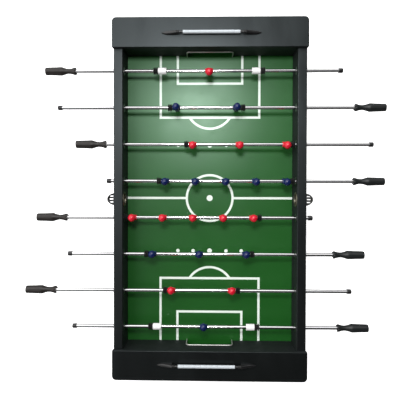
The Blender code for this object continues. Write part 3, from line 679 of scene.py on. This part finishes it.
def add_end_panels():
    past = 0.1
    window = rounded_rectangle((-WINDOW_HALF_WIDTH, WINDOW_BOTTOM_Z), (WINDOW_HALF_WIDTH, WINDOW_TOP_Z),
                               [WINDOW_CORNER_RADIUS] * 4)
    for end in ENDS:
        name = f"end_panel_{end}"
        low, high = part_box(name)
        cutter = extruded("window", window, low.y - past, high.y + past, "Y")
        add_cut_board(name, "board", "black_laminate", THIN_EDGE_ROUND, [cutter])


def add_pitch():
    sheet = board("pitch_sheet", *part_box("pitch"), 0.5 * MM)
    add_piece("pitch_sheet", sheet, "pitch_green", replaces=["pitch"], even=True)


def add_goal_frames():
    """A bent tube round each goal mouth."""
    radius = GOAL_FRAME_RADIUS
    bend = GOAL_CORNER_RADIUS + radius + GAP
    for end in ENDS:
        name = f"goal_frame_{end}"
        low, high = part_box(name)
        y = (low.y + high.y) / 2
        half = high.x - radius
        bend_z = high.z - radius - bend
        halfway = (low.z + bend_z) / 2
        route = [(-half, y, low.z), (-half, y, halfway)]
        for centre_x, first_angle in ((-half + bend, 180), (half - bend, 90)):
            for share in shares(8):
                angle = math.radians(first_angle - 90 * share)
                route.append((centre_x + bend * math.cos(angle), y, bend_z + bend * math.sin(angle)))
        route += [(half, y, halfway), (half, y, low.z)]
        add_piece(f"{name}_tube", tube(name, route, radius), "goal_steel", replaces=[name])


def add_ball_trays():
    """Open trays behind the goals, with a floor that slopes out to the window."""
    wall, slope = in_mm(2.5, 10)
    mouth_half_width, mouth_drop = in_mm(66.2, 6)
    above = 0.2
    for end, sign in ENDS.items():
        name = f"ball_tray_{end}"
        low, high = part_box(name)
        inner, outer = sorted((abs(low.y), abs(high.y)))
        inner_y, outer_y = sign * (inner + wall), sign * (outer - wall)
        hollow = ((inner_y, low.z + wall + slope), (outer_y, low.z + wall), (outer_y, high.z + wall),
                  (inner_y, high.z + wall))
        across = high.x - wall
        mouth = sorted((sign * (inner - wall), sign * (inner + 2 * wall)))
        window = sorted((sign * (outer - 2 * wall), sign * (outer + wall)))
        cutters = [
            extruded("hollow", filleted(hollow, 2 * MM, closed=True), -across, across, "X"),
            board("mouth", (-mouth_half_width, mouth[0], PITCH_Z - mouth_drop),
                  (mouth_half_width, mouth[1], above), 0),
            board("window", (-WINDOW_HALF_WIDTH, window[0], WINDOW_BOTTOM_Z),
                  (WINDOW_HALF_WIDTH, window[1], WINDOW_TOP_Z), 0),
        ]
        add_cut_board(name, "shell", "black_plastic", 1.0 * MM, cutters)


def add_entries():
    """The ring on the inside and the slotted half bowl on the outside of each ball entry."""
    inside, chamfer = in_mm(17.2, 1.0)
    seat = SIDE_INNER_X - GAP
    sleeve = ENTRY_HOLE_RADIUS - GAP
    for side, sign in SIDES.items():
        name = f"entry_ring_{side}"
        low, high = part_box(name)
        face, back = sorted((abs(low.x), abs(high.x)))
        outer = (high.z - low.z) / 2
        outline = [(seat, outer), (seat, sleeve), (back, sleeve), (back, inside), (face, inside),
                   (face, outer - chamfer)]
        bezel = ring_of("bezel", outline, 0.7 * MM, sign, 72)
        add_piece(f"{name}_bezel", bezel, "brass_ring", replaces=[name], location=(0, 0, ENTRY_Z),
                  sharp=50)
        add_entry_cup(side, sign)


def quarter_ellipsoid(back, reach, half_width, depth, sign):
    """The lower outer quarter of an ellipsoid, closed by its flat top and its flat back."""
    around, down = 40, 16
    bm = bmesh.new()
    rings = []
    for level in range(down):
        fall = math.radians(90 * level / down)
        ring = []
        for step in range(around + 1):
            angle = math.radians(-90 + 180 * step / around)
            x = back + (reach - back) * math.cos(fall) * math.cos(angle)
            y = half_width * math.cos(fall) * math.sin(angle)
            ring.append(bm.verts.new((sign * x, y, -depth * math.sin(fall))))
        rings.append(ring)
    lowest = bm.verts.new((sign * back, 0, -depth))
    bm.faces.new(rings[0])
    for upper, lower in zip(rings, rings[1:]):
        for step in range(around):
            bm.faces.new((upper[step], upper[step + 1], lower[step + 1], lower[step]))
    for step in range(around):
        bm.faces.new((rings[-1][step], rings[-1][step + 1], lowest))
    bm.faces.new([ring[0] for ring in rings] + [lowest] + [ring[-1] for ring in reversed(rings)])
    return mesh_from(bm, "quarter")


def add_entry_cup(side, sign):
    """A half bowl with three slots and a thick rim, on a round flange."""
    name = f"entry_cup_{side}"
    low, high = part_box(name)
    reach = abs(high.x if sign > 0 else low.x) - SIDE_OUTER_X - GAP
    half_width, depth, wall = in_mm(17.5, 16.5, 2.2)
    flange_radius, flange_width = (high.z - low.z) / 2, 2.0 * MM
    rim_radius = 1.3 * MM
    slot_half_width, slot_spacing, slot_top = in_mm(1.6, 8.5, -5.5)
    slot_ends = sorted((sign * 6.2 * MM, sign * (reach - 5.2 * MM)))
    below = -0.04
    inside = half_width - wall
    bowl = quarter_ellipsoid(flange_width / 2, reach, half_width, depth, sign)
    hollow = quarter_ellipsoid(flange_width / 4, reach - wall, inside, depth - wall, sign)
    cutters = [placed(hollow, (0, 0, wall / 8)), bore(inside, -sign * 10 * MM, 0, 0, 15 * MM)]
    for step in (-1, 0, 1):
        y = step * slot_spacing
        cutters.append(board("slot", (slot_ends[0], y - slot_half_width, below),
                             (slot_ends[1], y + slot_half_width, slot_top), 0))
    outline = [(0, inside), (flange_width, inside), (flange_width, flange_radius), (0, flange_radius)]
    plate = ring_of("plate", outline, 0.6 * MM, sign, 72)
    route = []
    for share in shares(32):
        angle = math.radians(-90 + 180 * share)
        out = flange_width / 2 + (reach - flange_width / 2 - rim_radius) * math.cos(angle)
        route.append((sign * out, (half_width - rim_radius) * math.sin(angle), 0))
    mesh = combined(bowl, cutters, "DIFFERENCE")
    mesh = combined(mesh, [plate, tube("rim", route, rim_radius, 12)], "UNION")
    add_piece(f"{name}_bowl", mesh, "grey_plastic", replaces=[name],
              location=(sign * (SIDE_OUTER_X + GAP), 0, ENTRY_Z), sharp=42)


def screw(radius, height, turn, axis):
    """A countersunk head with a cross recess. It faces +X from x = 0 until it is turned."""
    head = lathe("screw", ((-height, radius * 0.5), (-0.2 * height, radius), (0, radius * 0.94)), 24)
    arm, width = radius * 0.62, radius * 0.11
    deep = height * 0.55
    cross = [board("cross", (-deep, -arm, -width), (1, arm, width), 0),
             board("cross", (-deep, -width, -arm), (1, width, arm), 0)]
    return placed(combined(head, cross, "DIFFERENCE"), (0, 0, 0), math.radians(turn), axis)


def add_base():
    """The base board, its battens and feet, and the screws that hold them."""
    low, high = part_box("base_frame")
    thickness, batten_width = in_mm(9, 22)
    batten_inset, screw_inset = in_mm(30, 30)
    foot_inset_x, foot_inset_y = in_mm(48, 44)
    base = board("base", (low.x, low.y, 0), (high.x, high.y, thickness), 0.6 * MM)
    add_piece("base_board", base, "fibreboard", replaces=["base_frame"], even=True)
    batten_y = GOAL_WALL_Y - batten_inset
    for side, sign in SIDES.items():
        across = sorted((sign * high.x, sign * (high.x - batten_width)))
        batten = board("batten", (across[0], -batten_y, thickness), (across[1], batten_y, high.z),
                       THIN_EDGE_ROUND)
        add_piece(f"batten_{side}", batten, "fibreboard", even=True)
        heads = []
        for share in (-1, -0.5, 0, 0.5, 1):
            place = (sign * (high.x - batten_width / 2), share * (batten_y - screw_inset), -0.05 * MM)
            heads.append(placed(screw(3.8 * MM, 1.6 * MM, 90, "Y"), place))
        add_piece(f"base_screws_{side}", joined("base_screws", heads), "zinc_steel")
    seat = low.z + 3.2 * MM  # where a foot's screw sits in it
    foot_profile = [(low.z, 5.5 * MM), (low.z, 12.6 * MM), (low.z + 1.2 * MM, 13.4 * MM), (0, 14 * MM),
                    (0, 4.0 * MM), (seat, 4.0 * MM), (seat, 5.5 * MM)]
    for side, sign_x in SIDES.items():
        for end, sign_y in ENDS.items():
            foot = ring_of("foot", foot_profile, 0.8 * MM)
            placed(foot, (0, 0, 0), math.radians(-90), "Y")
            centre = (sign_x * (high.x - foot_inset_x), sign_y * (high.y - foot_inset_y), 0)
            add_piece(f"foot_{side}_{end}", foot, "black_rubber", location=centre, sharp=50)
            head = placed(screw(3.6 * MM, 1.6 * MM, 90, "Y"), (0, 0, seat))
            add_piece(f"foot_screw_{side}_{end}", head, "zinc_steel", location=centre)


def add_bearings():
    """A flanged sleeve in each panel for each rod."""
    lift = 0.05 * MM  # of its flanges from the panel
    inner_face = SIDE_INNER_X - 1.0 * MM
    outer_face = SIDE_OUTER_X + 0.9 * MM
    inside, sleeve = ROD_RADIUS + 0.25 * MM, 8.8 * MM
    outline = [(inner_face, inside), (inner_face, 11.6 * MM), (SIDE_INNER_X - lift, 12.6 * MM),
               (SIDE_INNER_X - lift, sleeve), (SIDE_OUTER_X + lift, sleeve),
               (SIDE_OUTER_X + lift, 12.0 * MM), (outer_face, 11.5 * MM), (outer_face, inside)]
    for side, sign in SIDES.items():
        mesh = ring_of("bearing", outline, 0.5 * MM, sign, steps=2)
        for row in ROWS:
            place = row_place(row)
            add_piece(f"bearing_{side}_{row}", mesh, "black_plastic", location=(0, place.y, place.z),
                      sharp=45)


def bellows(start, length):
    """The outline of a ribbed rubber bumper."""
    ribs = round(length / (4.1 * MM))
    valley, rise, end_round = in_mm(6.7, 3.8, 0.3)
    outline = [(start, ROD_RADIUS + SLACK)]
    for share in shares(10 * ribs):
        swell = 0.5 - 0.5 * math.cos(math.tau * ribs * share)
        shoulder = end_round if share in (0, 1) else 0
        outline.append((start + length * share, valley + rise * swell**0.7 - shoulder))
    outline.append((start + length, ROD_RADIUS + SLACK))
    return outline


def collar_outline(start, end):
    """A stop collar with a groove near each end."""
    radius, depth = in_mm(9.5, 0.35)
    outline = [(start, ROD_RADIUS + SLACK), (start, radius)]
    for edge, way in ((start, 1), (end, -1)):
        groove = [(edge + way * 3.4 * MM, radius), (edge + way * 3.7 * MM, radius - depth),
                  (edge + way * 4.4 * MM, radius - depth), (edge + way * 4.7 * MM, radius)]
        outline += groove[::way]
    return [*outline, (end, radius), (end, ROD_RADIUS + SLACK)]


def add_rod(row, sign, body):
    """A rod and what is fixed on it. sign is the side that its grip is on."""
    place = row_place(row)
    low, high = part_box(f"rod_{row}")
    ends = (sign * (low.x - place.x), sign * (high.x - place.x))
    cap_end, grip_end = min(ends), max(ends)
    cap = 13 * MM
    tip, chamfer = in_mm(4.2, 0.8)

    def turned(name, profile):
        return lathe(name, [(sign * x, radius) for x, radius in profile], 40)

    start = cap_end + cap / 2
    profile = [(start, tip), (start + chamfer, ROD_RADIUS), (grip_end - chamfer, ROD_RADIUS),
               (grip_end, tip)]
    add_piece(f"rod_{row}_tube", turned("rod", profile), "chrome", body,
              replaces=[f"rod_{row}"], location=place, sharp=30)
    # The cap's outline, from the rod round to the small dimple in its end
    cap_profile = [(cap, ROD_RADIUS + SLACK), (cap, 6.4 * MM), (cap - 1.0 * MM, 6.8 * MM),
                   (2.4 * MM, 6.8 * MM), (0.9 * MM, 6.3 * MM), (0, 4.9 * MM), (0, 3.2 * MM),
                   (1.1 * MM, 2.7 * MM), (1.1 * MM, 1.2 * MM)]
    cap_profile = [(cap_end + x, radius) for x, radius in cap_profile]
    add_piece(f"rod_{row}_cap", turned("cap", filleted(cap_profile, 0.7 * MM)),
              "black_plastic", body, location=place, sharp=50)

    places = player_places(row)
    goalie = len(places) == 1
    if goalie:
        face, length = in_mm(159.7, 13.8)
    else:
        face, length = max(abs(centre) for centre in places) + 24.3 * MM, 12.4 * MM
    start = face - length
    for side, way in SIDES.items():
        bumper = ring_of("bumper", bellows(start, length), sign=way)
        add_piece(f"bumper_{row}_{side}", bumper, "black_rubber", body, location=place, sharp=50)
        if goalie:
            outline = collar_outline(start - 23.5 * MM, start - 0.1 * MM)
            collar = ring_of("collar", outline, 0.6 * MM, way)
            add_piece(f"collar_{row}_{side}", collar, "white_plastic", body, location=place, sharp=50)


def player_places(row):
    """Each player's place along its rod, from the rod's middle."""
    places = []
    while f"player_{row}_{len(places) + 1}" in frame["nodes"]:
        low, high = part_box(f"player_{row}_{len(places) + 1}")
        places.append((low.x + high.x) / 2 - row_place(row).x)
    return places


def grip_mesh(length):
    """A turned grip from its outer end at x = 0 to its notched inner end, with shallow flutes."""
    inside = ROD_RADIUS + 0.2 * MM
    bore_depth = 66 * MM
    profile = [(0, 5.2 * MM), (0.35 * MM, 8.2 * MM)]
    profile += smooth_profile([(share * length, radius * MM) for share, radius in GRIP_SECTIONS])
    profile += [(length, 9.2 * MM), (length - 2.4 * MM, inside + 1.2 * MM), (length - 4 * MM, inside),
                (length - bore_depth, inside)]

    def warp(x, radius, angle):
        share = x / length
        if radius < 7 * MM:  # inside, where it stays round
            return x, radius
        fluted = clamped((share - 0.05) / 0.10) * clamped((0.60 - share) / 0.14)
        radius -= GRIP_FLUTE_DEPTH * fluted * (0.5 + 0.5 * math.cos(GRIP_FLUTES * angle)) ** 2
        flared = clamped((share - 0.84) / 0.16) ** 2
        valley = (0.5 + 0.5 * math.cos(GRIP_LOBES * angle)) ** 2
        return x - GRIP_NOTCH * flared * valley, radius - GRIP_LOBE_DEPTH * flared * valley

    return lathe("grip", profile, 96, warp=warp)


def smooth_profile(points, steps=4):
    """More points on a smooth curve through (x, radius) points."""
    made = []
    count = len(points)
    for index in range(count - 1):
        around = [Vector(points[min(max(index + k, 0), count - 1)]) for k in (-1, 0, 1, 2)]
        for step in range(steps):
            t = step / steps
            a, b, c, d = around
            at = 0.5 * (2 * b + (c - a) * t + (2 * a - 5 * b + 4 * c - d) * t**2
                        + (3 * b - a - 3 * c + d) * t**3)
            made.append(tuple(at))
    made.append(tuple(points[-1]))
    return made


def superellipse(z, half_x, half_y, power, sides=56):
    """A player's section at height z. Between the legs it is pinched into a groove."""
    points = []
    for angle in round_angles(sides):
        x = half_x * signed_power(math.cos(angle), 2 / power)
        y = half_y * signed_power(math.sin(angle), 2 / power)
        if LEGS_FOOT < z < LEGS_TOP:
            share, width = LEG_GROOVE
            y *= 1 - share * math.exp(-((x / width) ** 2))
        points.append((x, y, z))
    return points


def head_point(direction):
    """Where the head's surface is in a direction (x, forwards, up) from its centre."""
    scale = 1.0
    azimuth = math.atan2(direction.x, direction.y)
    height = math.asin(max(-1.0, min(1.0, direction.z)))
    for towards, widths, rise in HEAD_FEATURES:
        aim = Vector(towards).normalized()
        turn = azimuth - math.atan2(aim.x, aim.y)
        turn = (turn + math.pi) % math.tau - math.pi
        across = turn * math.cos(height) / widths[0]
        up = (height - math.asin(aim.z)) / widths[1]
        scale += rise * math.exp(-(across**2) - up**2)
    hairline = HAIRLINE[0] - HAIRLINE[1] * clamped(0.45 - direction.y)
    scale += HAIR_RISE / (1 + math.exp(-(direction.z - hairline) * HAIR_EDGE_SHARPNESS))
    scale /= 1 + HAIR_RISE
    return Vector([direction[k] * scale * HEAD_RADII[k] for k in range(3)]) + Vector((0, 0, HEAD_CENTRE))


def player_mesh(name, facing):
    """A player hanging from the rod's axis, facing along Y, melted together as one moulding."""
    bm = bmesh.new()
    sections = []
    for z, half_x, half_y, power in PLAYER_SECTIONS:
        sections.append(superellipse(z * MM, half_x * MM, half_y * MM, power))
    lofted(bm, sections)
    half_width, radius, end_radius = SHOULDER_HALF_WIDTH, 7.4 * MM, 3 * MM
    shoulders = filleted([(-half_width, end_radius), (-half_width, radius), (half_width, radius),
                          (half_width, end_radius)], 2.4 * MM, 4)
    bm.from_mesh(lathe("shoulders", shoulders, 40))
    for side in SIDES.values():
        arm = [(side * 9.0 * MM, 0, -3 * MM), (side * 9.3 * MM, 0.6 * MM, -7 * MM),
               (side * 9.5 * MM, 1.6 * MM, -11 * MM), (side * 9.3 * MM, 2.8 * MM, -15 * MM)]
        bm.from_mesh(tube("arm", arm, 2.1 * MM))
    head = bmesh.new()
    bmesh.ops.create_icosphere(head, subdivisions=5, radius=1.0)
    for vert in head.verts:
        vert.co = head_point(vert.co.normalized())
    bm.from_mesh(mesh_from(head, "head"))
    if facing < 0:
        bmesh.ops.rotate(bm, verts=bm.verts, matrix=Matrix.Rotation(math.pi, 3, "Z"))
    body = add_object(name, mesh_from(bm, name))
    modify(body, "REMESH", mode="VOXEL", voxel_size=0.42 * MM)
    modify(body, "SMOOTH", factor=0.5, iterations=4)
    modify(body, "DECIMATE", ratio=0.22)
    rod_bore = bore(ROD_RADIUS + 0.12 * MM, 0, 0, 0, 30 * MM, 40)
    return combined(settled(body), [rod_bore], "DIFFERENCE")


def scorer_arm(way, tip):
    """An arm that runs from the wire's end to a point, under a tall rounded back."""
    root, root_height, tip_height, half_width = in_mm(96.5, 16.5, 3.5, 5.0)
    taper_from, blunt_from = 0.55, 0.94
    sections = []
    for share in shares(28):
        width = half_width
        if share > taper_from:
            width *= max(0.02, 1 - ((share - taper_from) / (1 - taper_from)) ** 1.8)
        height = root_height - (root_height - tip_height) * share**0.8
        if share > blunt_from:
            height *= 1 - 0.35 * ((share - blunt_from) / (1 - blunt_from))
        sections.append(arch(way * (root + (tip - root) * share), width, height))
    return loft("scorer_arm", sections)


def scorer_collar(wire_radius):
    """The outline of a collar of three ribs, from the beads' end of the wire to its arm."""
    start, end, valley, crest = in_mm(88.5, 97.5, 3.8, 4.6)
    ribs, rib = 3, 8 * MM / 3
    outline = [(start, wire_radius)]
    for number in range(ribs):
        at = start + number * rib
        outline += [(at, 4.0 * MM), (at + 0.3 * MM, crest), (at + rib - 1.0 * MM, crest),
                    (at + rib - 0.7 * MM, valley)]
    return outline + [(end, valley), (end, wire_radius)]


def add_scorer(end):
    """Pointed feet with ribbed collars, the wire between them, and ten beads."""
    frame_name, beads_name = f"scorer_frame_{end}", f"scorer_beads_{end}"
    low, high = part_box(frame_name)
    centre = Vector(((low.x + high.x) / 2, (low.y + high.y) / 2, low.z))
    wire_end, wire_z, wire_radius = in_mm(97, 11.5, 2.9)
    arms = [scorer_arm(way, (high.x - low.x) / 2) for way in SIDES.values()]
    add_piece(f"{frame_name}_arms", joined("scorer_arms", arms), "black_plastic",
              replaces=[frame_name], location=centre, sharp=45)
    for side, way in SIDES.items():
        collar = ring_of("scorer_collar", scorer_collar(wire_radius), sign=way, sides=40)
        placed(collar, (0, 0, wire_z))
        add_piece(f"scorer_collar_{end}_{side}", collar, "black_rubber", location=centre, sharp=50)
    wire = lathe("scorer_wire", ((-wire_end, wire_radius), (wire_end, wire_radius)), 24)
    add_piece(f"scorer_wire_{end}", placed(wire, (0, 0, wire_z)), "black_plastic", location=centre)

    low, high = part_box(beads_name)
    middle = (low + high) / 2
    count, between = 10, 0.05 * MM
    spacing = (high.x - low.x) / count
    radius = 0.84 * (high.z - low.z) / 2
    hole = wire_radius + 0.1 * MM
    outline = [(between, hole), (between, radius), (spacing - between, radius), (spacing - between, hole)]
    bead = ring_of("bead", outline, 0.5 * MM, sides=40)
    for number in range(count):
        place = (low.x + number * spacing, middle.y, middle.z)
        add_piece(f"bead_{end}_{number + 1}", bead, "bead_plastic", f"beads_{end}",
                  replaces=[beads_name] if number == 0 else (), location=place, sharp=50)


def arch(x, half_width, height, steps=20, power=0.55):
    """A flat-bottomed, round-topped section across the table."""
    points = []
    for share in shares(steps):
        angle = math.pi * share
        points.append((x, half_width * signed_power(math.cos(angle), power),
                       height * signed_power(math.sin(angle), power)))
    return points


def add_rows():
    """Each rod with its men and its grip."""
    players = {"red": player_mesh("player_red", -1), "blue": player_mesh("player_blue", 1)}
    grip_low, grip_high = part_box("grip_1")
    grip_length = grip_high.x - grip_low.x
    # The grips' outer ends are towards their own side, so the mesh points inwards from there
    grips = {"red": grip_mesh(grip_length), "blue": placed(grip_mesh(grip_length), (0, 0, 0), math.pi)}
    screw_depth = 8.35 * MM  # from the rod's axis to the heads in the men's backs
    for row in ROWS:
        team = SLOT_OF_NODE[f"player_{row}_1"].removeprefix("team_")
        sign = -1 if team == "red" else 1
        men_body = f"men_{row}"
        place = row_place(row)
        lean = LEANS[row - 1]
        add_rod(row, sign, f"rod_{row}")
        head = screw(2.3 * MM, 1.2 * MM, -90 * sign, "Z")
        screws = []
        for number, x in enumerate(player_places(row), start=1):
            node = f"player_{row}_{number}"
            add_piece(f"{node}_figure", players[team], f"team_{team}", men_body,
                      replaces=[node], location=place + Vector((x, 0, 0)), lean=lean, sharp=60)
            screws.append(placed(head.copy(), (x, -sign * screw_depth, 0)))
        add_piece(f"player_screws_{row}", joined("player_screws", screws), "zinc_steel",
                  men_body, location=place, lean=lean)
        low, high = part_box(f"grip_{row}")
        outer_x = low.x if sign < 0 else high.x
        add_piece(f"grip_{row}_handle", grips[team], GRIP_LOOKS[team], men_body,
                  replaces=[f"grip_{row}"], location=(outer_x, place.y, place.z), sharp=50)


# ---- stage


SOFTBOX_SIZE = (0.30, 0.22)
SOFTBOX_PLACE = Vector((-0.08, 0.53, 1.68))
SOFTBOX_RADIANCE = 72.0
# The sky over a low even level: a broad glow round the softbox, a bright arc half-way up behind the
# far end, a band along the horizon, and a strip overhead along the left. Unless a line says
# otherwise, the pairs are the parts of the direction between which a light comes up or goes down.
SKY_LEVEL = 0.05
GLOW = (0.72, 13.0)  # its level, and the power of the cosine that it falls off with
ARC_LEVEL = 2.1
ARC_TOWARDS = Vector((-0.66, 0.75, 0.0))
ARC_FACING = (-0.08, 0.36)
ARC_UP, ARC_DOWN = (0.24, 0.36), (0.84, 0.94)
HORIZON_LEVEL = 0.75
HORIZON_DOWN = (0.15, 0.60)
RIGHT_SHARE = 0.35  # of the glow's and the horizon's level that is left towards the right
TO_THE_RIGHT = (0.0, 0.3)
STRIP_LEVEL = 1.7
STRIP_UP, STRIP_DOWN, STRIP_ALONG = (-0.50, -0.42), (-0.28, -0.20), (-0.32, 0.0)
SKY_TO_CAMERA = (0.95, 0.95, 0.95)


def add_floor():
    size, depth = 8, 0.1
    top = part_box("base_frame")[0].z
    floor = add_object("floor", board("floor", (-size, -size, -depth), (size, size, top), 0))
    floor.data.materials.append(LOOKS["floor"])


def add_light():
    """A softbox over the far end, and a sky that is bright on that side and dark on the near one."""
    light = bpy.data.lights.new("softbox", "AREA")
    light.shape = "RECTANGLE"
    light.size, light.size_y = SOFTBOX_SIZE
    light.energy = SOFTBOX_RADIANCE * math.pi * light.size * light.size_y
    add_object("softbox", light, SOFTBOX_PLACE)

    world = bpy.data.worlds.new("studio")
    bpy.context.scene.world = world
    world.use_nodes = True
    sky = Graph(world.node_tree, "Background")
    direction = sky.node("ShaderNodeTexCoord").outputs["Generated"]
    across, along, height = sky.split(direction)

    def towards(vector):
        made = sky.node("ShaderNodeVectorMath", {0: direction, 1: vector.normalized()},
                        operation="DOT_PRODUCT")
        return made.outputs["Value"]

    dimmer = sky.ranged(across, *TO_THE_RIGHT, 1.0, RIGHT_SHARE)
    near_softbox = sky.math("MAXIMUM", towards(SOFTBOX_PLACE - Vector((0, 0, TOP_Z))), 0.0)
    glow = sky.times(sky.math("POWER", near_softbox, GLOW[1]), GLOW[0])
    arc = sky.times(sky.ranged(height, *ARC_UP, 0.0, ARC_LEVEL), sky.ranged(height, *ARC_DOWN, 1.0, 0.0))
    arc = sky.times(arc, sky.ranged(towards(ARC_TOWARDS), *ARC_FACING))
    horizon = sky.ranged(height, *HORIZON_DOWN, HORIZON_LEVEL, SKY_LEVEL)
    strip = sky.times(sky.ranged(across, *STRIP_UP, 0.0, STRIP_LEVEL),
                      sky.ranged(across, *STRIP_DOWN, 1.0, 0.0))
    strip = sky.times(strip, sky.ranged(along, *STRIP_ALONG))
    brighter = sky.math("MAXIMUM", sky.times(horizon, dimmer), strip)
    level = sky.plus(sky.plus(sky.times(glow, dimmer), arc), brighter)
    seen = sky.node("ShaderNodeLightPath").outputs["Is Camera Ray"]
    sky.set("Color", sky.mix(seen, level, SKY_TO_CAMERA))


CAMERA_PLACE = (0.001, 0.046, 1.432)
CAMERA_TURN = (-0.84, 1.24, 0.14)  # degrees away from looking straight down
FOCAL_LENGTH = 40.13
SENSOR_WIDTH = 36
CAMERA_SHIFT = (-0.0009, -0.0251)


def add_camera():
    camera = bpy.data.cameras.new("camera")
    camera.lens = FOCAL_LENGTH
    camera.sensor_width = SENSOR_WIDTH
    camera.shift_x, camera.shift_y = CAMERA_SHIFT
    obj = add_object("camera", camera, CAMERA_PLACE)
    obj.rotation_euler = [math.radians(turn) for turn in CAMERA_TURN]
    bpy.context.scene.camera = obj


def main():
    add_camera()
    add_light()
    add_floor()
    add_side_panels()
    add_end_boards()
    add_goal_walls()
    add_end_panels()
    add_pitch()
    add_goal_frames()
    add_ball_trays()
    add_entries()
    add_base()
    add_bearings()
    add_rows()
    for end in ENDS:
        add_scorer(end)
    bpy.context.scene.view_settings.view_transform = "Standard"


main()
